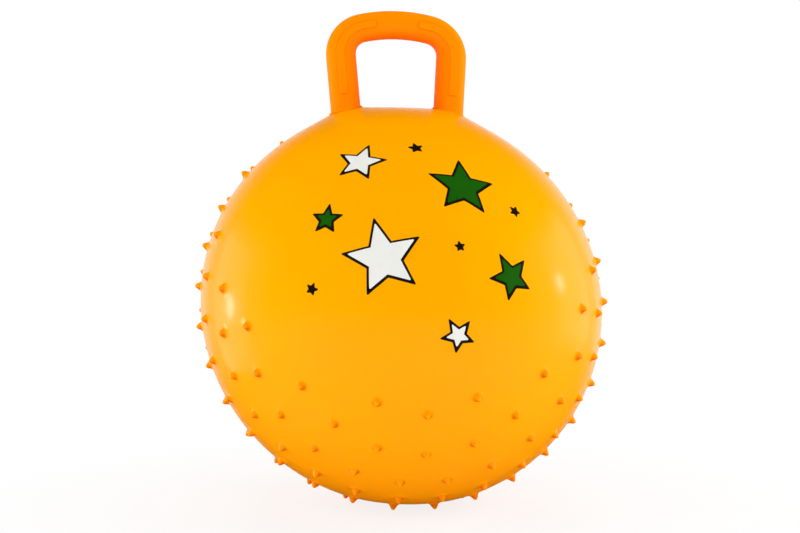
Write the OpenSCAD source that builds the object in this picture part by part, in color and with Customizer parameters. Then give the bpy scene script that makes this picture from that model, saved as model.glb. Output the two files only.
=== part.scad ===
// Hopper ball with a loop handle
// Inflated skin with moulded grip knobs, welded loop handle and a push-in air valve.
// The ball stands on the floor at z = 0 and faces -Y, with the handle in the XZ plane.

/* [Ball] */
// Outside diameter of the inflated ball, without its knobs
ball_d = 450; // [350:5:650]
// Thickness of the moulded skin
skin_t = 1.1; // [0.8:0.1:3]
// Height of the flattened underside above the floor
stand_gap = 3.6; // [3:0.2:6]
// Depth by which the lowest knob tips are pressed flat
tip_press = 0.5; // [0.2:0.1:1]

/* [Knobs] */
// Height of a knob above the skin
knob_h = 7; // [5:0.5:10]
// Diameter of a knob's cone at the skin
knob_d = 9; // [7:0.5:14]
// Radius of a knob's rounded tip
knob_tip_r = 1.8; // [1:0.1:2.2]
// Radius of the fillet round a knob's foot
knob_fillet_r = 2; // [0.5:0.1:2.5]
// Angle from one ring of knobs to the next, about the front axis
ring_step = 12.8; // [11:0.1:14]
// Angle of the smooth panel's centre above the front axis
panel_tilt = 40; // [30:1:50]
// Half of the angle that the smooth panel spans
panel_half_angle = 61; // [50:0.5:65]

/* [Handle] */
// Height of the handle's top above the top of the ball
handle_rise = 106; // [90:1:140]
// Distance between the legs' middles at the widest place
grip_w = 125; // [110:1:160]
// Thickness of the loop, measured in its own plane
bar_w = 33; // [26:1:40]
// Depth of the loop from front to back
bar_t = 30; // [24:1:40]
// Wall of the hollow loop
bar_wall = 3; // [2:0.5:5]
// Radius of the arched top bar along its middle
arch_r = 171; // [140:1:300]
// Radius of the two upper corners along their middle
corner_r = 28.5; // [24:0.5:36]
// Angle by which the legs lean in on their way down
leg_lean = 4; // [0:0.5:8]
// Fillet radius where a leg meets the ball
foot_fillet_r = 5; // [3:0.5:8]
// Height of the raised pads above the handle's faces
pad_h = 1; // [0.5:0.1:2]
// Length over which a pad rises at its ends
pad_ramp = 5; // [3:0.5:8]
// Gap between the two pads on the top bar
pad_gap = 47; // [20:1:60]
// Height of the pads' lower ends above the top of the ball
pad_lift = 10; // [8:1:30]

/* [Valve] */
// Diameter of the valve seat where it passes through the skin
seat_d = 26; // [22:1:34]
// Length of the valve seat into the ball
seat_len = 18; // [14:1:24]
// Diameter of the seat's flange inside the ball
flange_d = 40; // [36:1:50]
// Thickness of the seat's flange
flange_t = 2; // [1.5:0.1:3]
// Diameter of the valve bore
bore_d = 8; // [6:0.5:9]
// Diameter of the plug's head
head_d = 18; // [14:0.5:20]
// Thickness of the plug's head
head_t = 2.2; // [1.5:0.1:3]
// Radius of the rounding on the head's rim
head_edge_r = 0.8; // [0.3:0.1:1]
// Length of the plug's stem under its head
stem_len = 20; // [16:1:26]
// Diameter of the stem between its ribs
stem_d = 6.8; // [5:0.1:7.5]
// Number of sealing ribs on the stem
rib_count = 3; // [2:1:4]
// Length of the tapered nose of the stem
nose_len = 5; // [3:0.5:7]
// Diameter of the finger notch beside the head
notch_d = 7; // [5:0.5:9]

/* [Fits] */
// Width of the weld line between bonded faces
weld_gap = 0.05; // [0.02:0.01:0.1]
// Radial clearance of the plug's ribs in the bore
rib_gap = 0.05; // [0.01:0.01:0.1]
// Radial clearance round the plug's head
head_gap = 0.4; // [0.3:0.1:1]

/* [Hidden] */
$fn = 96;

// Overrun of cuts past the faces that they open
cut_over = 1;

// Knobs on each ring, from the parting line towards the front, and where the first one lies
// beside the lowest point, as a share of the step from knob to knob
ring_counts = [32, 30, 27, 22, 17, 11];
ring_start_shares = [0.5, 0.5, 0.5, 0.5, 0, 0];

ball_r = ball_d / 2;
inner_r = ball_r - skin_t;
knob_r = knob_d / 2;
tip_centre = ball_r + knob_h - knob_tip_r;

// The ring next to the parting line has its lowest knobs on the floor, front and back
rest_turn = ring_start_shares[1] * 360 / ring_counts[1];
tip_drop = tip_centre * cos(ring_step) * cos(rest_turn);
centre_z = tip_drop + knob_tip_r - tip_press;

// Slope of the knob's side, as the line that touches both the foot and the tip's rounding
knob_side = knob_h - knob_tip_r;
tip_lean = 90 - atan2(knob_side, knob_r) - asin(knob_tip_r / norm([knob_side, knob_r]));
tip_touch = [knob_tip_r * cos(tip_lean), knob_side + knob_tip_r * sin(tip_lean)];

// Unit directions of the knobs on the front half, with the parting line's ring among them
knob_rays = [
    for (row = [0 : len(ring_counts) - 1])
        for (i = [0 : ring_counts[row] - 1])
            let (turn = (i + ring_start_shares[row]) * 360 / ring_counts[row])
            let (off_front = 90 - row * ring_step)
            let (ray = [sin(off_front) * sin(turn), -cos(off_front), -sin(off_front) * cos(turn)])
            if (ray.z * sin(panel_tilt) - ray.y * cos(panel_tilt) < cos(panel_half_angle)) ray
];

// Middle line of the handle, seen from the front with the ball's centre at zero
bar_z = ball_r + handle_rise - bar_w / 2;
arch_span = asin((grip_w / 2 - corner_r) / (arch_r - corner_r));
arch_centre = [0, bar_z - arch_r];
corner_centre = arch_centre + (arch_r - corner_r) * [sin(arch_span), cos(arch_span)];
leg_top = corner_centre + corner_r * [cos(leg_lean), -sin(leg_lean)];
leg_way = [-sin(leg_lean), -cos(leg_lean)];
pad_start = asin(pad_gap / 2 / arch_r);
pad_ramp_turn = pad_ramp / arch_r * 180 / PI;
pad_run = (leg_top.y - ball_r - pad_lift) / cos(leg_lean);

// The section is a rounded square: points round it, and how square it is
section_count = 24;
section_power = 2.5;
// Steps along the corner, the arch and the foot's fillet
corner_steps = 7;
arch_steps = 3;
foot_steps = 5;

// Valve: its face lies level with the edge of the hole in the skin
seat_face = sqrt(pow(ball_r, 2) - pow(seat_d / 2, 2));
recess_d = head_d + 2 * head_gap;
recess_floor = seat_face - head_t;
flange_top = sqrt(pow(inner_r, 2) - pow(flange_d / 2, 2));
rib_r = bore_d / 2 - rib_gap;
rib_round = rib_r - stem_d / 2;
rib_step = (stem_len - nose_len) / rib_count;

module ball_frame() {
    translate([0, 0, centre_z]) children();
}

module below(height) {
    side = 2 * (ball_d + knob_h);
    translate([-side / 2, -side / 2, height - side]) cube(side);
}

module knob(root) {
    foot_r = knob_r + knob_fillet_r;
    waist_r = knob_r - (knob_r - tip_touch.x) * knob_fillet_r / tip_touch.y;
    rotate_extrude() {
        polygon([
            [0, -root],
            [foot_r, -root],
            [foot_r, 0],
            [waist_r, knob_fillet_r],
            tip_touch,
            [0, tip_touch.y]
        ]);
        intersection() {
            translate([0, knob_side]) circle(knob_tip_r);
            translate([0, tip_touch.y]) square(2 * knob_tip_r);
        }
    }
}

// A knob under the ball is pushed into the skin until its tip is level with the others
module knob_at(ray) {
    push = ray.z < 0 ? max(0, tip_centre + tip_drop / ray.z) : 0;
    rotate([0, acos(ray.z), atan2(ray.y, ray.x)]) translate([0, 0, ball_r - push]) knob(skin_t / 2);
}

module ball_shell() {
    color("orange") difference() {
        ball_frame() union() {
            difference() {
                sphere(ball_r);
                below(stand_gap - centre_z);
            }
            for (ray = knob_rays) {
                knob_at(ray);
                if (abs(ray.y) > sin(ring_step / 2)) mirror([0, 1, 0]) knob_at(ray);
            }
        }
        ball_frame() difference() {
            sphere(inner_r);
            below(stand_gap + skin_t - centre_z);
        }
        valve_frame() translate([0, 0, inner_r - cut_over]) cylinder(h = skin_t + 2 * cut_over, d = seat_d);
        below(0);
    }
}

// Outline of the loop's cross section, drawn in by an inset: x across the loop, y to the front
function bow(c) = sign(c) * pow(abs(c), 2 / section_power);
function section(inset) = [
    for (i = [0 : section_count - 1])
        let (turn = 360 * i / section_count)
        [(bar_w / 2 - inset) * bow(cos(turn)), (bar_t / 2 - inset) * bow(sin(turn))]
];

// How many points lie between point i and the middle of the nearer face, front or back
function off_face(i) = abs(i % (section_count / 2) - section_count / 4);

// Ring of points square to the loop's middle line. Level says how many rows of the pad are up:
// none, its middle row alone, or that and the rows beside it
function ring(mid, turn, inset, level) = [
    for (i = [0 : section_count - 1])
        let (p = section(inset)[i])
        let (rise = off_face(i) < level ? pad_h * sign(p.y) : 0)
        [mid.x + p.x * cos(turn), -p.y - rise, mid.y + p.x * sin(turn)]
];

function leg_ring(run, inset, level) = ring(leg_top + run * leg_way, -leg_lean, inset, level);
function corner_ring(turn, inset, level) =
    ring(corner_centre + corner_r * [cos(turn), sin(turn)], turn, inset, level);
function arch_ring(turn, inset, level) =
    ring(arch_centre + arch_r * [sin(turn), cos(turn)], 90 - turn, inset, level);

// Distance down the leg from a point beside its top to the ball, left by the weld line
function run_to_ball(start, y) =
    let (fall = -start * leg_way)
    fall - sqrt(pow(fall, 2) - start * start - pow(y, 2) + pow(ball_r + weld_gap, 2));

// Ring of points on the leg, each at the same height over the ball
function foot_ring(height, inset) = [
    for (p = section(inset))
        let (start = leg_top + p.x * [cos(leg_lean), -sin(leg_lean)])
        let (point = start + (run_to_ball(start, p.y) - height) * leg_way)
        [point.x, -p.y, point.y]
];

// Outer rings of the right half, from the weld up to the middle of the top bar
outer_half = [
    for (i = [foot_steps : -1 : 0])
        let (turn = 90 * i / foot_steps)
        foot_ring(foot_fillet_r * (1 - sin(turn)), -foot_fillet_r * (1 - cos(turn))),
    leg_ring(pad_run, 0, 0),
    leg_ring(pad_run - pad_ramp / 2, 0, 1),
    leg_ring(pad_run - pad_ramp, 0, 2),
    for (i = [0 : corner_steps])
        corner_ring(-leg_lean + (90 - arch_span + leg_lean) * i / corner_steps, 0, 2),
    arch_ring(pad_start + pad_ramp_turn, 0, 2),
    arch_ring(pad_start + pad_ramp_turn / 2, 0, 1),
    for (i = [0 : arch_steps]) arch_ring(pad_start * (1 - i / arch_steps), 0, 0)
];

// Rings of the bore through the loop, along the same half
inner_half = [
    foot_ring(0, bar_wall),
    for (i = [0 : corner_steps])
        corner_ring(-leg_lean + (90 - arch_span + leg_lean) * i / corner_steps, bar_wall, 0),
    for (i = [1 : arch_steps]) arch_ring(arch_span * (1 - i / arch_steps), bar_wall, 0)
];

// Both halves in one run, from the right foot over the top to the left foot
function whole_loop(half) = concat(
    half,
    [for (i = [len(half) - 2 : -1 : 0]) [for (p = half[i]) [-p.x, p.y, p.z]]]
);

function flat_list(rings) = [for (r = rings) for (p = r) p];

// Triangles between the point rows that start at two indices
function band(low, high) = [
    for (i = [0 : section_count - 1])
        let (next = (i + 1) % section_count)
        for (face = [[low + i, high + next, low + next], [low + i, high + i, high + next]]) face
];

module handle() {
    outer = whole_loop(outer_half);
    inner = whole_loop(inner_half);
    first_inner = len(outer) * section_count;
    last_outer = first_inner - section_count;
    last_inner = first_inner + (len(inner) - 1) * section_count;
    faces = [
        for (i = [0 : len(outer) - 2]) each band(i * section_count, (i + 1) * section_count),
        for (i = [0 : len(inner) - 2])
            each band(first_inner + (i + 1) * section_count, first_inner + i * section_count),
        each band(first_inner, 0),
        each band(last_outer, last_inner)
    ];
    color("darkorange") ball_frame()
        polyhedron(concat(flat_list(outer), flat_list(inner)), faces);
}

// The valve's axis points out of the back of the ball, with zero at the ball's centre
module valve_frame() {
    ball_frame() rotate([-90, 0, 0]) children();
}

module valve_seat() {
    color("gold") valve_frame() difference() {
        union() {
            translate([0, 0, seat_face - seat_len]) cylinder(h = seat_len, d = seat_d - 2 * weld_gap);
            intersection() {
                translate([0, 0, flange_top - flange_t]) cylinder(h = flange_t + skin_t, d = flange_d);
                sphere(inner_r - weld_gap);
            }
        }
        translate([0, 0, seat_face - seat_len - cut_over]) cylinder(h = seat_len + 2 * cut_over, d = bore_d);
        translate([0, 0, recess_floor]) cylinder(h = head_t + cut_over, d = recess_d);
        translate([0, recess_d / 2, recess_floor]) cylinder(h = head_t + cut_over, d = notch_d);
    }
}

module valve_plug() {
    shank_len = stem_len - nose_len;
    color("white") valve_frame() translate([0, 0, recess_floor]) {
        rotate_extrude() {
            square([head_d / 2, head_t - head_edge_r]);
            square([head_d / 2 - head_edge_r, head_t]);
            translate([head_d / 2 - head_edge_r, head_t - head_edge_r]) circle(head_edge_r);
        }
        translate([0, 0, -shank_len]) cylinder(h = shank_len + head_t / 2, d = stem_d);
        translate([0, 0, -stem_len]) cylinder(h = nose_len, d1 = stem_d / 2, d2 = stem_d);
        for (i = [1 : rib_count])
            translate([0, 0, (1 / 2 - i) * rib_step]) rotate_extrude()
                translate([stem_d / 2, 0]) circle(rib_round);
    }
}

ball_shell();
handle();
valve_seat();
valve_plug();
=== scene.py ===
import math

import bpy
from mathutils import Matrix, Vector
from mathutils.kdtree import KDTree


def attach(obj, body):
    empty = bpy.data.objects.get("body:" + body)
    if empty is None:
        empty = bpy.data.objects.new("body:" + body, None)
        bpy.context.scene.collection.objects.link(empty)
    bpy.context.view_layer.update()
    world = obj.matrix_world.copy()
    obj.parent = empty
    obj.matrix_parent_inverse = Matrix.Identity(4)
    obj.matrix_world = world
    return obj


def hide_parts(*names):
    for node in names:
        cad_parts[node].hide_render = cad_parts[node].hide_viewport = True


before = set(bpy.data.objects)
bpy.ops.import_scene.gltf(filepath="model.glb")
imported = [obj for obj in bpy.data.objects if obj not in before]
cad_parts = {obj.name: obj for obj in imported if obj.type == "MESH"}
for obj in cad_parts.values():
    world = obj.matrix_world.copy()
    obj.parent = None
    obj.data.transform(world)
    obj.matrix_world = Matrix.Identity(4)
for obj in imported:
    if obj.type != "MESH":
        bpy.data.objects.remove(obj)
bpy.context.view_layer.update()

# Ball skin
# A thin skin of soft PVC, turned hot in a closed mould and then pumped up hard. The blunt grip
# knobs are moulded in one with it. It stands on its lowest knobs, which its weight presses flat,
# and the pumped skin pulls a little out of round.
SKIN_R = 0.225
SKIN_T = 0.0011
BALL_CENTRE = Vector((0, 0, 0.22455))
VALVE_HOLE_R = 0.01302

# Out of round: longer towards the lower right and shorter across that
STRETCH = 0.0177
STRETCH_TURN = Matrix.Rotation(math.radians(36), 3, "Y")
stretched = STRETCH_TURN @ Matrix.Diagonal((1 + STRETCH, 1, 1 - STRETCH)) @ STRETCH_TURN.inverted()

# Rings of knobs about the front axis, from the parting line forwards, in degrees: how far off the
# axis a ring lies, the place of its first knob beside the lowest point, and the step to the next.
# The back half has the same rings, but the one next to the parting line is set between its knobs.
FRONT_RINGS = (
    (90, 6.4, 11.4),
    (75.8, 8.0, 12.0),
    (63.2, 9.2, 13.4),
    (51.4, 10.6, 16.3),
    (38.4, 2.3, 21.2),
    (24.8, 2.1, 32.8),
)
BACK_RINGS = ((79.4, 0.6, 11.15),) + FRONT_RINGS[2:]

# The rings stop at a smooth panel on the front and the top, and at a smaller one on the back
PANEL_TILT = math.radians(40)
FRONT_PANEL = math.cos(math.radians(60.17))
BACK_PANEL = math.cos(math.radians(45))
knob_ways = []
for rings, facing, panel in ((FRONT_RINGS, -1, FRONT_PANEL), (BACK_RINGS, 1, BACK_PANEL)):
    panel_way = Vector((0, facing * math.cos(PANEL_TILT), math.sin(PANEL_TILT)))
    for off_axis, first, step in rings:
        off = math.radians(off_axis)
        count = round(360 / step)
        for i in range(-(count // 2), count - count // 2):
            turn = math.radians(first + i * step)
            across = math.sin(off) * math.sin(turn)
            way = Vector((across, facing * math.cos(off), -math.sin(off) * math.cos(turn)))
            if way.dot(panel_way) < panel:
                knob_ways.append((stretched.inverted() @ way).normalized())

# One knob, drawn up from a circle that lies on the skin: a soft flare, a cone and a round tip
KNOB_SIDES = 12
KNOB_FOOT_R = 0.0070
KNOB_OUTLINE = (
    (0.0059, 0.0003),
    (0.0050, 0.0009),
    (0.0042, 0.0020),
    (0.0033, 0.0037),
    (0.0023, 0.0053),
    (0.0012, 0.0064),
)
KNOB_TIP_R = 0.0002
KNOB_H = 0.0069
foot_z = math.sqrt(SKIN_R ** 2 - KNOB_FOOT_R ** 2)
bpy.ops.object.select_all(action="DESELECT")
bpy.ops.mesh.primitive_circle_add(vertices=KNOB_SIDES, radius=KNOB_FOOT_R, location=(0, 0, foot_z))
knob = bpy.context.object
bpy.ops.object.transform_apply()
bpy.ops.object.mode_set(mode="EDIT")
bpy.ops.mesh.select_all(action="SELECT")
last_r = KNOB_FOOT_R
last_z = foot_z
for ring_r, ring_h in KNOB_OUTLINE + ((KNOB_TIP_R, KNOB_H),):
    rise = SKIN_R + ring_h - last_z
    bpy.ops.mesh.extrude_region_move(TRANSFORM_OT_translate={"value": (0, 0, rise)})
    bpy.ops.transform.resize(value=(ring_r / last_r, ring_r / last_r, 1))
    last_r = ring_r
    last_z = SKIN_R + ring_h
bpy.ops.mesh.merge(type="CENTER")
bpy.ops.object.mode_set(mode="OBJECT")

# Copies of it at every place, and the points of the skin between them
knob_copies = []
for way in knob_ways:
    bpy.ops.object.select_all(action="DESELECT")
    knob.select_set(True)
    bpy.context.view_layer.objects.active = knob
    bpy.ops.object.duplicate()
    knob_copies.append(bpy.context.object)
    knob_copies[-1].matrix_world = way.to_track_quat("Z", "Y").to_matrix().to_4x4()
bpy.ops.object.select_all(action="DESELECT")
knob.select_set(True)
bpy.ops.object.delete()

VALVE_RIM_SIDES = 48
bpy.ops.mesh.primitive_circle_add(
    vertices=VALVE_RIM_SIDES,
    radius=VALVE_HOLE_R,
    location=(0, math.sqrt(SKIN_R ** 2 - VALVE_HOLE_R ** 2), 0),
    rotation=(math.pi / 2, 0, 0),
)
valve_rim = bpy.context.object
bpy.ops.object.select_all(action="DESELECT")
SKIN_SUBDIVISIONS = 6
bpy.ops.mesh.primitive_ico_sphere_add(subdivisions=SKIN_SUBDIVISIONS, radius=SKIN_R)
ball = bpy.context.object
ball.name = "ball_skin"
ball.data.name = "ball_skin"

# Points of the skin that lie too near a knob's foot or the valve's rim make way for it
nearest_knob = KDTree(len(knob_ways))
for i, way in enumerate(knob_ways):
    nearest_knob.insert(way, i)
nearest_knob.balance()
KNOB_ROOM = 0.0026
bpy.ops.object.mode_set(mode="EDIT")
bpy.ops.mesh.select_all(action="DESELECT")
bpy.ops.object.mode_set(mode="OBJECT")
for v in ball.data.vertices:
    off_knob = nearest_knob.find(v.co.normalized())[2] * SKIN_R
    off_valve = (v.co - Vector((0, SKIN_R, 0))).length
    v.select = off_knob < KNOB_FOOT_R + KNOB_ROOM or off_valve < VALVE_HOLE_R + KNOB_ROOM
bpy.ops.object.mode_set(mode="EDIT")
bpy.ops.mesh.delete(type="VERT")
bpy.ops.mesh.select_all(action="SELECT")
bpy.ops.mesh.delete(type="EDGE_FACE")
bpy.ops.object.mode_set(mode="OBJECT")
for copy in knob_copies + [valve_rim]:
    copy.select_set(True)
ball.select_set(True)
bpy.context.view_layer.objects.active = ball
bpy.ops.object.join()

# The skin is drawn tight over its points and the knobs' feet, and opened under the knobs and at
# the valve
ON_SKIN = 0.00002
INSIDE_VALVE_RIM = VALVE_HOLE_R * 0.999
bpy.ops.object.mode_set(mode="EDIT")
bpy.ops.mesh.select_all(action="DESELECT")
bpy.ops.object.mode_set(mode="OBJECT")
for v in ball.data.vertices:
    v.select = abs(v.co.length - SKIN_R) < ON_SKIN
bpy.ops.object.mode_set(mode="EDIT")
bpy.ops.mesh.convex_hull(
    delete_unused=False,
    use_existing_faces=False,
    make_holes=False,
    join_triangles=False,
)
bpy.ops.mesh.select_all(action="DESELECT")
bpy.ops.object.mode_set(mode="OBJECT")
for face in ball.data.polygons:
    corners = [ball.data.vertices[i].co for i in face.vertices]
    on_skin = all(abs(corner.length - SKIN_R) < ON_SKIN for corner in corners)
    in_knob = nearest_knob.find(face.center.normalized())[2] * SKIN_R < KNOB_FOOT_R
    off_valve_axis = math.hypot(face.center.x, face.center.z)
    in_valve = face.center.y > 0 and off_valve_axis < INSIDE_VALVE_RIM
    face.select = on_skin and (in_knob or in_valve)
bpy.ops.object.mode_set(mode="EDIT")
bpy.ops.mesh.select_mode(type="FACE")
bpy.ops.mesh.delete(type="ONLY_FACE")
bpy.ops.mesh.select_mode(type="VERT")
bpy.ops.mesh.select_all(action="SELECT")
bpy.ops.mesh.delete_loose(use_verts=True, use_edges=True, use_faces=False)

# Doubles are merged, and small gaps are closed where the skin missed a point of a knob's foot
SAME_PLACE = 0.00001
SMALL_GAP_SIDES = 4
bpy.ops.mesh.select_all(action="SELECT")
bpy.ops.mesh.remove_doubles(threshold=SAME_PLACE)
bpy.ops.mesh.fill_holes(sides=SMALL_GAP_SIDES)
bpy.ops.mesh.normals_make_consistent(inside=False)

# The hole for the valve shows the skin's thickness
bpy.ops.mesh.select_all(action="DESELECT")
bpy.ops.mesh.select_non_manifold(
    extend=False,
    use_wire=False,
    use_boundary=True,
    use_multi_face=False,
    use_non_contiguous=False,
    use_verts=False,
)
bpy.ops.mesh.extrude_region_move(TRANSFORM_OT_translate={"value": (0, -SKIN_T, 0)})
bpy.ops.object.mode_set(mode="OBJECT")

# Painted shade for the material: a knob's flanks get some all round, and most on the side that faces
# down
knob_shade = ball.data.attributes.new("painted_shade", "FLOAT", "POINT")
KNOB_BLEND = 0.0016
KNOB_SHOULDER = 0.0046
KNOB_FADE = 0.0022
DOWN_SHADE_FROM = -0.05
DOWN_SHADE_RUN = 0.5
UPPER_FLANK_SHADE = 0.3
for v, share in zip(ball.data.vertices, knob_shade.data):
    rise = max(0, v.co.length - SKIN_R)
    tip_left = 1 - (rise - KNOB_SHOULDER) / KNOB_FADE
    in_flank = max(0, min(1, rise / KNOB_BLEND, tip_left))
    # Painted shade: darker where the flank faces down
    facing_down = max(0, min(1, (-v.normal.z - DOWN_SHADE_FROM) / DOWN_SHADE_RUN))
    share.value = in_flank * (UPPER_FLANK_SHADE + (1 - UPPER_FLANK_SHADE) * facing_down)

# The handle's two feet draw the skin up a little round them
FOOT_MIDDLE = 0.058
FOOT_ROUND = 0.016
FOOT_LIFT = 0.005
FOOT_LIFT_FADE = 0.020
feet = [Vector((s * FOOT_MIDDLE, 0, math.sqrt(SKIN_R ** 2 - FOOT_MIDDLE ** 2))) for s in (-1, 1)]


def draw_up_at_feet(piece):
    for v in piece.data.vertices:
        if v.co.z > 0:
            off_feet = [max(0, (v.co - foot).length - FOOT_ROUND) for foot in feet]
            lift = FOOT_LIFT * sum(math.exp(-off / FOOT_LIFT_FADE) for off in off_feet)
            v.co += v.co.normalized() * lift


def settle(piece):
    piece.data.transform(Matrix.Translation(BALL_CENTRE) @ stretched.to_4x4())
    piece.data.update()


draw_up_at_feet(ball)
settle(ball)

# The underside is pushed up to where the lowest knobs carry it, and their tips are pressed flat
UNDERSIDE_LIFT = 0.0027
UNDERSIDE_R = 0.080
for v in ball.data.vertices:
    if v.co.z < BALL_CENTRE.z:
        off_middle = math.hypot(v.co.x, v.co.y) / UNDERSIDE_R
        v.co.z = max(0, v.co.z + UNDERSIDE_LIFT * max(0, 1 - off_middle ** 2) ** 2)
bpy.ops.object.select_all(action="DESELECT")
ball.select_set(True)
bpy.context.view_layer.objects.active = ball
bpy.ops.object.shade_smooth()


def linear(hex_colour):
    shares = [int(hex_colour[i:i + 2], 16) / 255 for i in (1, 3, 5)]
    return [s / 12.92 if s < 0.04045 else ((s + 0.055) / 1.055) ** 2.4 for s in shares] + [1]


def add_node(tree, kind, values={}, links={}, **settings):
    made = tree.nodes.new(kind)
    for name, value in settings.items():
        setattr(made, name, value)
    for socket, value in values.items():
        made.inputs[socket].default_value = value
    for socket, source in links.items():
        tree.links.new(source, made.inputs[socket])
    return made


# Soft PVC from a polished mould: a clear even orange with a wet gloss. The pigment drifts a
# little over a hand's width, and a fine orange peel of about 3 mm breaks up the reflections.
# Where a mesh carries painted shade, on the knobs and inside the handle's loop, a deeper colour is
# mixed in as painted shade.
PIGMENT_DRIFT = 0.09
POLISH_DRIFT = 0.03
PEEL_SIZE = 0.003
PEEL_DEPTH = 0.0002
PEEL_STRENGTH = 0.1
PVC_IOR = 1.5


def moulded_pvc(name, colour, deep_colour, shade_colour, roughness, specular):
    material = bpy.data.materials.new(name)
    material.use_nodes = True
    tree = material.node_tree
    tree.nodes.clear()
    place = add_node(tree, "ShaderNodeTexCoord").outputs["Object"]
    drift = add_node(
        tree,
        "ShaderNodeTexNoise",
        {"Scale": 1 / PIGMENT_DRIFT, "Detail": 3, "Roughness": 0.5},
        {"Vector": place},
    )
    pigment = add_node(
        tree,
        "ShaderNodeMix",
        {6: linear(colour), 7: linear(deep_colour)},
        {0: drift.outputs["Fac"]},
        data_type="RGBA",
    )
    # The mesh's painted shade, mixed in as a deeper colour
    painted_shade = add_node(tree, "ShaderNodeAttribute", attribute_name="painted_shade")
    shaded_colour = add_node(
        tree,
        "ShaderNodeMix",
        {7: linear(shade_colour)},
        {0: painted_shade.outputs["Fac"], 6: pigment.outputs[2]},
        data_type="RGBA",
    )
    peel = add_node(
        tree,
        "ShaderNodeTexNoise",
        {"Scale": 1 / PEEL_SIZE, "Detail": 2, "Roughness": 0.5},
        {"Vector": place},
    )
    polish = add_node(
        tree,
        "ShaderNodeMapRange",
        {
            "From Min": 0.3,
            "From Max": 0.7,
            "To Min": roughness - POLISH_DRIFT,
            "To Max": roughness + POLISH_DRIFT,
        },
        {"Value": drift.outputs["Fac"]},
    )
    relief = add_node(
        tree,
        "ShaderNodeBump",
        {"Strength": PEEL_STRENGTH, "Distance": PEEL_DEPTH},
        {"Height": peel.outputs["Fac"]},
    )
    shader = add_node(
        tree,
        "ShaderNodeBsdfPrincipled",
        {"IOR": PVC_IOR, "Specular IOR Level": specular},
        {
            "Base Color": shaded_colour.outputs[2],
            "Roughness": polish.outputs["Result"],
            "Normal": relief.outputs["Normal"],
        },
    )
    add_node(tree, "ShaderNodeOutputMaterial", links={"Surface": shader.outputs["BSDF"]})
    return material


ball.data.materials.clear()
# The deepest colour here is the painted shade on the knobs
ball_pvc = moulded_pvc("soft_pvc_ball", "#FFA600", "#FFA100", "#E46C00", 0.2, 0.2)
ball.data.materials.append(ball_pvc)
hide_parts("ball_shell")
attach(ball, "ball")

# Printed stars
# A loose shower of five-pointed stars screen printed on the smooth panel in white and green ink,
# each with a black outline, and small black ones between them.
STAR_POINTS = 5
STAR_WAIST = 0.46
INK_BACK = 0.0002
STAR_TIP_ROUND = 0.0022
STAR_TIP_STEPS = 3
STAR_FACE = 0.006


def select_only(piece, faces=(), points=()):
    bpy.ops.object.select_all(action="DESELECT")
    piece.select_set(True)
    bpy.context.view_layer.objects.active = piece
    bpy.ops.object.mode_set(mode="EDIT")
    bpy.ops.mesh.select_mode(type="FACE" if faces else "VERT")
    bpy.ops.mesh.select_all(action="DESELECT")
    bpy.ops.object.mode_set(mode="OBJECT")
    for i in faces:
        piece.data.polygons[i].select = True
    for i in points:
        piece.data.vertices[i].select = True
    bpy.ops.object.mode_set(mode="EDIT")


def printed_star(tip_r, turn, across, up, height):
    bpy.ops.object.select_all(action="DESELECT")
    bpy.ops.mesh.primitive_circle_add(vertices=2 * STAR_POINTS, radius=tip_r, fill_type="NGON")
    star = bpy.context.object
    tips = [v.index for v in star.data.vertices if v.index % 2 == 0]
    waist = [v.index for v in star.data.vertices if v.index % 2 == 1]
    select_only(star, points=waist)
    bpy.ops.transform.resize(value=(STAR_WAIST, STAR_WAIST, 1))
    bpy.ops.object.mode_set(mode="OBJECT")
    select_only(star, points=tips)
    bpy.ops.mesh.bevel(offset=STAR_TIP_ROUND, segments=STAR_TIP_STEPS, affect="VERTICES")
    bpy.ops.mesh.select_all(action="SELECT")
    bpy.ops.mesh.poke()
    bpy.ops.mesh.subdivide(number_cuts=max(1, round(tip_r / STAR_FACE)))
    bpy.ops.object.mode_set(mode="OBJECT")
    bpy.ops.object.modifier_add(type="SOLIDIFY")
    star.modifiers[0].thickness = height + INK_BACK
    star.modifiers[0].offset = -1
    bpy.ops.object.modifier_apply(modifier=star.modifiers[0].name)
    to_side = Matrix.Rotation(math.radians(across), 3, "Z")
    upwards = Matrix.Rotation(math.radians(-up), 3, "X")
    upright = Matrix.Rotation(math.pi / 2, 3, "X")
    turned = Matrix.Rotation(math.radians(turn), 3, "Z")
    lay = to_side @ upwards @ upright @ turned
    for v in star.data.vertices:
        flat = Vector((v.co.x, v.co.y, 0))
        bow = flat.length / SKIN_R
        out = Vector((0, 0, 1)) * math.cos(bow) + flat.normalized() * math.sin(bow)
        v.co = lay @ (out * (SKIN_R + height + v.co.z))
    return star


# Screen ink: a thin opaque coat with a soft gloss. It lies a little thicker and thinner over about
# a finger's width, which shifts its colour and its polish.
INK_MOTTLE = 0.012
INK_POLISH = (0.26, 0.36)


def screen_ink(name, colour, thin_colour):
    material = bpy.data.materials.new(name)
    material.use_nodes = True
    tree = material.node_tree
    tree.nodes.clear()
    place = add_node(tree, "ShaderNodeTexCoord").outputs["Object"]
    mottle = add_node(
        tree,
        "ShaderNodeTexNoise",
        {"Scale": 1 / INK_MOTTLE, "Detail": 4, "Roughness": 0.6},
        {"Vector": place},
    )
    ink = add_node(
        tree,
        "ShaderNodeMix",
        {6: linear(colour), 7: linear(thin_colour)},
        {0: mottle.outputs["Fac"]},
        data_type="RGBA",
    )
    polish = add_node(
        tree,
        "ShaderNodeMapRange",
        {"From Min": 0.3, "From Max": 0.7, "To Min": INK_POLISH[0], "To Max": INK_POLISH[1]},
        {"Value": mottle.outputs["Fac"]},
    )
    shader = add_node(
        tree,
        "ShaderNodeBsdfPrincipled",
        {"IOR": 1.5, "Specular IOR Level": 0.2},
        {"Base Color": ink.outputs[2], "Roughness": polish.outputs["Result"]},
    )
    add_node(tree, "ShaderNodeOutputMaterial", links={"Surface": shader.outputs["BSDF"]})
    return material


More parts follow.
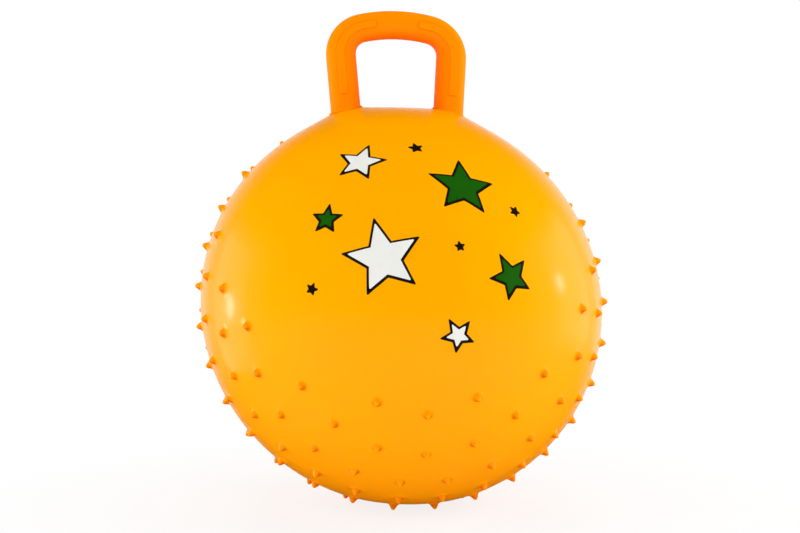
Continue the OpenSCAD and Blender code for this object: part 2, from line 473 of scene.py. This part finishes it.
# Each star: its reach from the middle to a tip, its turn, and its place in degrees to the right of
# the front and above it
white_stars = ((0.037, 14, -11, 17), (0.022, -8, -21, 46), (0.013, 30, 8, -3))
green_stars = ((0.031, -10, 15, 38), (0.020, 22, 24, 12), (0.012, 0, -28, 27))
black_stars = ((0.0095, 10, 1, 52), (0.008, -20, -30, 8), (0.008, 35, 31, 30), (0.007, 5, 10, 20))

# The black goes on first, and the others lie over it. A tip has to reach further out than the
# edges do to leave the same width of black round it.
UNDER = 0.00012
OVER = 0.00024
OUTLINE_W = 0.0026
EDGE_PER_TIP = 0.39
inks = (
    ("print_black", screen_ink("black_screen_ink", "#0B0B0A", "#161513"), []),
    ("print_white", screen_ink("white_screen_ink", "#E6E6E2", "#DDDDD8"), []),
    ("print_green", screen_ink("green_screen_ink", "#13520A", "#1E5A08"), []),
)
for stars, ink in ((white_stars, 1), (green_stars, 2)):
    for tip_r, turn, across, up in stars:
        inks[ink][2].append(printed_star(tip_r, turn, across, up, OVER))
        inks[0][2].append(printed_star(tip_r + OUTLINE_W / EDGE_PER_TIP, turn, across, up, UNDER))
for tip_r, turn, across, up in black_stars:
    inks[0][2].append(printed_star(tip_r, turn, across, up, UNDER))
for name, ink, stars in inks:
    bpy.ops.object.select_all(action="DESELECT")
    for star in stars:
        star.select_set(True)
    bpy.context.view_layer.objects.active = stars[0]
    bpy.ops.object.join()
    print_layer = bpy.context.object
    print_layer.name = name
    print_layer.data.name = name
    draw_up_at_feet(print_layer)
    settle(print_layer)
    bpy.ops.object.mode_set(mode="EDIT")
    bpy.ops.mesh.select_all(action="SELECT")
    bpy.ops.mesh.normals_make_consistent(inside=False)
    bpy.ops.object.mode_set(mode="OBJECT")
    bpy.ops.object.shade_smooth_by_angle(angle=math.radians(30))
    print_layer.data.materials.append(ink)
    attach(print_layer, "ball")

# Loop handle
# A hollow moulding of the same PVC in a deeper orange, with a raised pad on each side of the grip
# and welded to the ball at its two feet, where the weld leaves a small fillet.
BAR_HALF_W = 0.0168
BAR_HALF_T = 0.0157
GRIP_SLIMMER = 0.945
BAR_SIDES = 36
BAR_SQUARENESS = 2.5
BAR_Z = 0.3190
GRIP_OFF_MIDDLE = -0.0010
ARCH_R = 0.171
CORNER_R = 0.0305
GRIP_HALF_W = 0.0622
LEG_LEAN = math.radians(4)
LEG_RUN = 0.050
LEG_STEPS = 9
CORNER_STEPS = 10
ARCH_STEPS = 7
arch_span = math.asin((GRIP_HALF_W - CORNER_R) / (ARCH_R - CORNER_R))
arch_middle = Vector((0, 0, BAR_Z - ARCH_R))
corner_way = Vector((math.sin(arch_span), 0, math.cos(arch_span)))
corner_middle = arch_middle + (ARCH_R - CORNER_R) * corner_way
leg_top = corner_middle + CORNER_R * Vector((math.cos(LEG_LEAN), 0, -math.sin(LEG_LEAN)))
leg_way = Vector((-math.sin(LEG_LEAN), 0, -math.cos(LEG_LEAN)))

# Middle line of the right half, from the leg's lower end to the middle of the top
half_line = [leg_top + leg_way * LEG_RUN * (1 - i / LEG_STEPS) for i in range(LEG_STEPS)]
corner_turn = math.pi / 2 - arch_span + LEG_LEAN
for i in range(CORNER_STEPS):
    turn = -LEG_LEAN + corner_turn * i / CORNER_STEPS
    half_line.append(corner_middle + CORNER_R * Vector((math.cos(turn), 0, math.sin(turn))))
for i in range(ARCH_STEPS + 1):
    turn = arch_span * (1 - i / ARCH_STEPS)
    half_line.append(arch_middle + ARCH_R * Vector((math.sin(turn), 0, math.cos(turn))))
grip_line = half_line + [Vector((-p.x, 0, p.z)) for p in reversed(half_line[:-1])]

# A rounded square bar is drawn along that line
bpy.ops.object.select_all(action="DESELECT")
bpy.ops.curve.primitive_nurbs_circle_add()
bar_outline = bpy.context.object
bar_outline.data.splines.clear()
outline = bar_outline.data.splines.new("POLY")
outline.points.add(BAR_SIDES - 1)
outline.use_cyclic_u = True
for i, point in enumerate(outline.points):
    turn = math.tau * i / BAR_SIDES
    deep = math.copysign(abs(math.cos(turn)) ** (2 / BAR_SQUARENESS), math.cos(turn))
    wide = math.copysign(abs(math.sin(turn)) ** (2 / BAR_SQUARENESS), math.sin(turn))
    point.co = (BAR_HALF_T * deep, BAR_HALF_W * wide, 0, 1)
bpy.ops.object.select_all(action="DESELECT")
bpy.ops.curve.primitive_nurbs_path_add()
handle = bpy.context.object
handle.name = "loop_handle"
handle.data.splines.clear()
route = handle.data.splines.new("POLY")
route.points.add(len(grip_line) - 1)
for point, place in zip(route.points, grip_line):
    point.co = place.to_4d()
    on_grip = max(0, min(1, (place.z - corner_middle.z) / CORNER_R))
    point.radius = 1 + (GRIP_SLIMMER - 1) * on_grip
handle.data.dimensions = "3D"
handle.data.twist_mode = "MINIMUM"
handle.data.bevel_mode = "OBJECT"
handle.data.bevel_object = bar_outline
bpy.ops.object.convert(target="MESH")
handle = bpy.context.object
handle.data.name = "loop_handle"
bpy.ops.object.mode_set(mode="EDIT")
bpy.ops.mesh.select_all(action="SELECT")
bpy.ops.mesh.normals_make_consistent(inside=False)
bpy.ops.object.mode_set(mode="OBJECT")
bpy.ops.object.select_all(action="DESELECT")
bar_outline.select_set(True)
bpy.ops.object.delete()

# Raised pads: the strip of faces along the middle of the front and of the back, from the leg's
# foot round the corner and a little way onto the bar
PAD_ROOM = 0.0225
PAD_END_Z = 0.236
PAD_INNER = -0.0042
PAD_OUTER = 0.0072
PAD_H = 0.0022
PAD_EDGE = 0.0010
PAD_GROOVE = 0.0009
PAD_GROOVE_W = 0.0006
PAD_FOOT_LINE = 0.0003
PAD_TOP_LINE = 0.0004
PAD_FACE_SHARE = 0.8


def off_middle_line(place):
    side = Vector((abs(place.x), 0, place.z))
    to_corner = side - corner_middle
    if to_corner.z > to_corner.x / math.tan(arch_span):
        return (side - arch_middle).length - ARCH_R
    if to_corner.z < -math.tan(LEG_LEAN) * to_corner.x:
        return to_corner.dot(Vector((math.cos(LEG_LEAN), 0, -math.sin(LEG_LEAN)))) - CORNER_R
    return to_corner.length - CORNER_R


pads = []
for face in handle.data.polygons:
    off_line = off_middle_line(face.center)
    on_face = abs(face.center.y) > BAR_HALF_T * PAD_FACE_SHARE and PAD_INNER < off_line < PAD_OUTER
    if on_face and abs(face.center.x) > PAD_ROOM and face.center.z > PAD_END_Z:
        pads.append(face.index)
select_only(handle, faces=pads)
bpy.ops.mesh.inset(thickness=PAD_FOOT_LINE)
bpy.ops.mesh.inset(thickness=PAD_GROOVE_W, depth=-PAD_GROOVE)
bpy.ops.mesh.inset(thickness=PAD_EDGE, depth=PAD_H + PAD_GROOVE)
bpy.ops.mesh.inset(thickness=PAD_TOP_LINE)
bpy.ops.object.mode_set(mode="OBJECT")

# Feet: each end is drawn out along its leg onto the ball, over a fillet and a little way in, and
# closed there
FILLET_R = 0.0025
FILLET_STEPS = 4
SINK = 0.0020
END_SLACK = 0.0002
foot_level = SKIN_R + FOOT_LIFT
for side in (1, -1):
    leg_middle = Vector((side * leg_top.x, 0, leg_top.z))
    leg_line = Vector((side * leg_way.x, 0, leg_way.z))
    end_middle = leg_middle + leg_line * LEG_RUN
    end_points = []
    for v in handle.data.vertices:
        if abs((v.co - end_middle).dot(leg_line)) < END_SLACK and v.co.x * side > 0:
            end_points.append(v.index)
    select_only(handle, points=end_points)
    turns = [math.pi / 2 * i / FILLET_STEPS for i in range(FILLET_STEPS + 1)]
    steps = [(FILLET_R * (1 - math.sin(t)), FILLET_R * (1 - math.cos(t))) for t in turns]
    last_spread = 0
    for height, spread in steps + [(-SINK, FILLET_R)]:
        bpy.ops.object.mode_set(mode="EDIT")
        bpy.ops.mesh.extrude_region_move()
        bpy.ops.object.mode_set(mode="OBJECT")
        for v in handle.data.vertices:
            if v.select:
                off_leg = v.co - leg_middle
                off_leg -= leg_line * off_leg.dot(leg_line)
                off_leg += off_leg.normalized() * (spread - last_spread)
                start = leg_middle + off_leg
                fall = -start.dot(leg_line)
                reach = fall - math.sqrt(fall ** 2 - start.length_squared + foot_level ** 2)
                v.co = start + leg_line * (reach - height)
        last_spread = spread
    bpy.ops.object.mode_set(mode="EDIT")
    bpy.ops.mesh.edge_face_add()
    bpy.ops.object.mode_set(mode="OBJECT")
bpy.ops.object.mode_set(mode="EDIT")
bpy.ops.mesh.select_all(action="SELECT")
bpy.ops.mesh.remove_doubles(threshold=SAME_PLACE)
bpy.ops.mesh.normals_make_consistent(inside=False)
bpy.ops.object.mode_set(mode="OBJECT")

# Painted shade for the material, deepest on the inside of the loop
LOOP_SHADE_FROM = 0.004
LOOP_SHADE_RUN = 0.012
loop_shade = handle.data.attributes.new("painted_shade", "FLOAT", "POINT")
for v, share in zip(handle.data.vertices, loop_shade.data):
    inwards = (-off_middle_line(v.co) - LOOP_SHADE_FROM) / LOOP_SHADE_RUN
    share.value = max(0, min(1, inwards))
handle.data.transform(Matrix.Translation((GRIP_OFF_MIDDLE, 0, 0)))
settle(handle)
HANDLE_LEVEL = 1
smooth = handle.modifiers.new("smooth", "SUBSURF")
smooth.levels = HANDLE_LEVEL
smooth.render_levels = HANDLE_LEVEL
bpy.ops.object.modifier_apply(modifier=smooth.name)
bpy.ops.object.shade_smooth()
handle.data.materials.clear()
# The deepest colour here is the painted shade inside the loop
handle_pvc = moulded_pvc("soft_pvc_handle", "#FF8E00", "#FF8600", "#F37000", 0.42, 0.06)
handle.data.materials.append(handle_pvc)
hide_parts("handle")
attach(handle, "ball")

# Air valve
# An insert of the ball's PVC bonded into the skin at the back, and the push-in plug of white
# polyethylene that closes it.
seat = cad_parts["valve_seat"]
seat.data.materials.clear()
seat_pvc = moulded_pvc("soft_pvc_valve", "#FF9A00", "#FF9200", "#FF9200", 0.34, 0.2)
seat.data.materials.append(seat_pvc)

# Moulded polyethylene: a milky white with a waxy, half matt skin, clouded over a few millimetres
MILK_CLOUD = 0.004
WAX_POLISH = (0.34, 0.46)
POLYETHYLENE_IOR = 1.51
polyethylene = bpy.data.materials.new("white_polyethylene")
polyethylene.use_nodes = True
tree = polyethylene.node_tree
tree.nodes.clear()
place = add_node(tree, "ShaderNodeTexCoord").outputs["Object"]
cloud = add_node(
    tree,
    "ShaderNodeTexNoise",
    {"Scale": 1 / MILK_CLOUD, "Detail": 3},
    {"Vector": place},
)
milk = add_node(
    tree,
    "ShaderNodeMix",
    {6: linear("#D9D7CF"), 7: linear("#E2E1DB")},
    {0: cloud.outputs["Fac"]},
    data_type="RGBA",
)
matt = add_node(
    tree,
    "ShaderNodeMapRange",
    {"From Min": 0.3, "From Max": 0.7, "To Min": WAX_POLISH[0], "To Max": WAX_POLISH[1]},
    {"Value": cloud.outputs["Fac"]},
)
shader = add_node(
    tree,
    "ShaderNodeBsdfPrincipled",
    {"IOR": POLYETHYLENE_IOR},
    {"Base Color": milk.outputs[2], "Roughness": matt.outputs["Result"]},
)
add_node(tree, "ShaderNodeOutputMaterial", links={"Surface": shader.outputs["BSDF"]})
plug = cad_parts["valve_plug"]
plug.data.materials.clear()
plug.data.materials.append(polyethylene)

# Floor and backdrop
# A pale sweep that keeps the ball's shadow near it and runs out into the white backdrop.
FLOOR_SIZE = 14
SHADOW_R = 0.2
CLEAR_R = 0.6
WHITE_AT_BALL = 0.82
bpy.ops.object.select_all(action="DESELECT")
bpy.ops.mesh.primitive_plane_add(size=FLOOR_SIZE)
floor = bpy.context.object
floor.name = "floor"
floor.visible_glossy = False
floor.visible_shadow = False
sweep = bpy.data.materials.new("white_sweep")
sweep.use_nodes = True
tree = sweep.node_tree
tree.nodes.clear()
path = add_node(tree, "ShaderNodeLightPath")
place = add_node(tree, "ShaderNodeTexCoord").outputs["Object"]
off_ball = add_node(tree, "ShaderNodeVectorMath", {}, {0: place}, operation="LENGTH")
run_out = add_node(
    tree,
    "ShaderNodeMapRange",
    {"From Min": SHADOW_R, "From Max": CLEAR_R, "To Min": WHITE_AT_BALL, "To Max": 1},
    {"Value": off_ball.outputs["Value"]},
    interpolation_type="SMOOTHSTEP",
)
seen = add_node(
    tree,
    "ShaderNodeMath",
    {},
    {0: run_out.outputs["Result"], 1: path.outputs["Is Camera Ray"]},
    operation="MULTIPLY",
)
paper = add_node(tree, "ShaderNodeBsdfDiffuse", {"Color": linear("#E4E4E4")})
white = add_node(tree, "ShaderNodeEmission", {"Color": (1, 1, 1, 1), "Strength": 1})
both = add_node(
    tree,
    "ShaderNodeMixShader",
    {},
    {0: seen.outputs["Value"], 1: paper.outputs["BSDF"], 2: white.outputs["Emission"]},
)
add_node(tree, "ShaderNodeOutputMaterial", links={"Surface": both.outputs["Shader"]})
floor.data.materials.append(sweep)

# World: white to the eye, and as a light and in reflections a white backdrop behind the ball in
# a dark room
BACKDROP_WAY = (0.12, 0.99, 0.0)
BACKDROP_EDGE = 0.55
BACKDROP_FULL = 0.88
BACKDROP_LIGHT = 0.8
world = bpy.data.worlds.new("studio")
bpy.context.scene.world = world
world.use_nodes = True
tree = world.node_tree
tree.nodes.clear()
path = add_node(tree, "ShaderNodeLightPath")
way = add_node(tree, "ShaderNodeTexCoord").outputs["Generated"]
behind = add_node(tree, "ShaderNodeVectorMath", {1: BACKDROP_WAY}, {0: way}, operation="DOT_PRODUCT")
backdrop = add_node(
    tree,
    "ShaderNodeMapRange",
    {"From Min": BACKDROP_EDGE, "From Max": BACKDROP_FULL, "To Min": 0, "To Max": BACKDROP_LIGHT},
    {"Value": behind.outputs["Value"]},
    interpolation_type="SMOOTHSTEP",
)
height = add_node(tree, "ShaderNodeSeparateXYZ", {}, {"Vector": way})
above_floor = add_node(
    tree,
    "ShaderNodeMapRange",
    {"From Min": -0.42, "From Max": -0.08},
    {"Value": height.outputs["Z"]},
    interpolation_type="SMOOTHSTEP",
)
below_ceiling = add_node(
    tree,
    "ShaderNodeMapRange",
    {"From Min": 0.55, "From Max": 0.12},
    {"Value": height.outputs["Z"]},
    interpolation_type="SMOOTHSTEP",
)
band = add_node(
    tree,
    "ShaderNodeMath",
    {},
    {0: above_floor.outputs["Result"], 1: below_ceiling.outputs["Result"]},
    operation="MULTIPLY",
)
backdrop_light = add_node(
    tree,
    "ShaderNodeMath",
    {},
    {0: backdrop.outputs["Result"], 1: band.outputs["Value"]},
    operation="MULTIPLY",
)
room = add_node(
    tree,
    "ShaderNodeBackground",
    {"Color": (1, 1, 1, 1)},
    {"Strength": backdrop_light.outputs["Value"]},
)
plain = add_node(tree, "ShaderNodeBackground", {"Color": (1, 1, 1, 1), "Strength": 1})
studio = add_node(
    tree,
    "ShaderNodeMixShader",
    {},
    {0: path.outputs["Is Camera Ray"], 1: room.outputs["Background"], 2: plain.outputs["Background"]},
)
add_node(tree, "ShaderNodeOutputWorld", links={"Surface": studio.outputs["Shader"]})

# Lamps: a soft box on each side behind the ball, each with its bright middle, broad soft lights
# that leave no reflection, and the light that the white table throws up from beside the ball.
# Each lamp: the way to it from the ball, how far off it is, its size, its radiance, and whether it
# shows in reflections.
def soft_box(name, way, off, size, radiance, shows):
    data = bpy.data.lights.new(name, "AREA")
    data.shape = "RECTANGLE"
    data.size = size[0]
    data.size_y = size[1]
    data.energy = radiance * math.pi * size[0] * size[1]
    lamp = bpy.data.objects.new(name, data)
    bpy.context.scene.collection.objects.link(lamp)
    way = Vector(way).normalized()
    lamp.location = BALL_CENTRE + way * off
    lamp.rotation_euler = way.to_track_quat("Z", "Y").to_euler()
    lamp.visible_camera = False
    lamp.visible_glossy = shows
    data.cycles.use_multiple_importance_sampling = shows


soft_box("left_veil", (-0.94, 0.30, 0), 1.8, (1.5, 1.6), 0.3, True)
soft_box("left_box", (-0.906, 0.423, -0.04), 1.7, (1.0, 1.3), 0.85, True)
soft_box("left_core", (-0.936, 0.352, -0.045), 1.6, (0.09, 0.17), 24, True)
soft_box("right_veil", (0.99, 0.06, 0.12), 1.8, (1.7, 1.5), 0.3, True)
soft_box("right_box", (0.97, 0.22, 0.12), 1.7, (1.0, 1.1), 0.8, True)
soft_box("right_core", (0.99, -0.005, 0.165), 1.6, (0.09, 0.14), 18, True)
soft_box("front_fill", (-0.02, -0.90, 0.44), 2.6, (2.0, 1.6), 3.0, False)
soft_box("left_fill", (-0.95, -0.15, 0.30), 2.3, (2.2, 1.8), 2.8, False)
soft_box("right_fill", (0.95, -0.15, 0.35), 2.3, (2.2, 1.8), 3.4, False)
soft_box("top_fill", (0, 0.10, 1), 2.4, (2.6, 2.6), 1.5, False)
soft_box("back_fill", (0.10, 0.88, 0.46), 2.6, (2.0, 1.6), 2.4, False)
soft_box("low_left", (-0.84, -0.20, -0.50), 1.2, (1.0, 1.0), 0.6, False)
soft_box("low_right", (0.84, -0.20, -0.50), 1.2, (1.0, 1.0), 0.45, False)
soft_box("low_front", (0, -0.90, -0.44), 1.2, (1.0, 1.0), 0.55, False)
soft_box("low_back", (0, 0.80, -0.60), 1.2, (1.0, 1.0), 1.2, False)

# Camera at the photograph's angle
camera_data = bpy.data.cameras.new("camera")
camera = bpy.data.objects.new("camera", camera_data)
bpy.context.scene.collection.objects.link(camera)
bpy.context.scene.camera = camera
camera_data.sensor_width = 36
camera_data.lens = 71.25
CAMERA_OFF = 1.8
AIM_OFF_CENTRE = Vector((-0.0015, 0, 0.0453))
SIDE = math.radians(-6.5)
RISE = math.radians(4.3)
camera.location = BALL_CENTRE + CAMERA_OFF * Vector(
    (math.cos(RISE) * math.sin(SIDE), -math.cos(RISE) * math.cos(SIDE), math.sin(RISE))
)
aim = BALL_CENTRE + AIM_OFF_CENTRE
camera.rotation_euler = (aim - camera.location).to_track_quat("-Z", "Y").to_euler()
bpy.context.scene.view_settings.view_transform = "Standard"
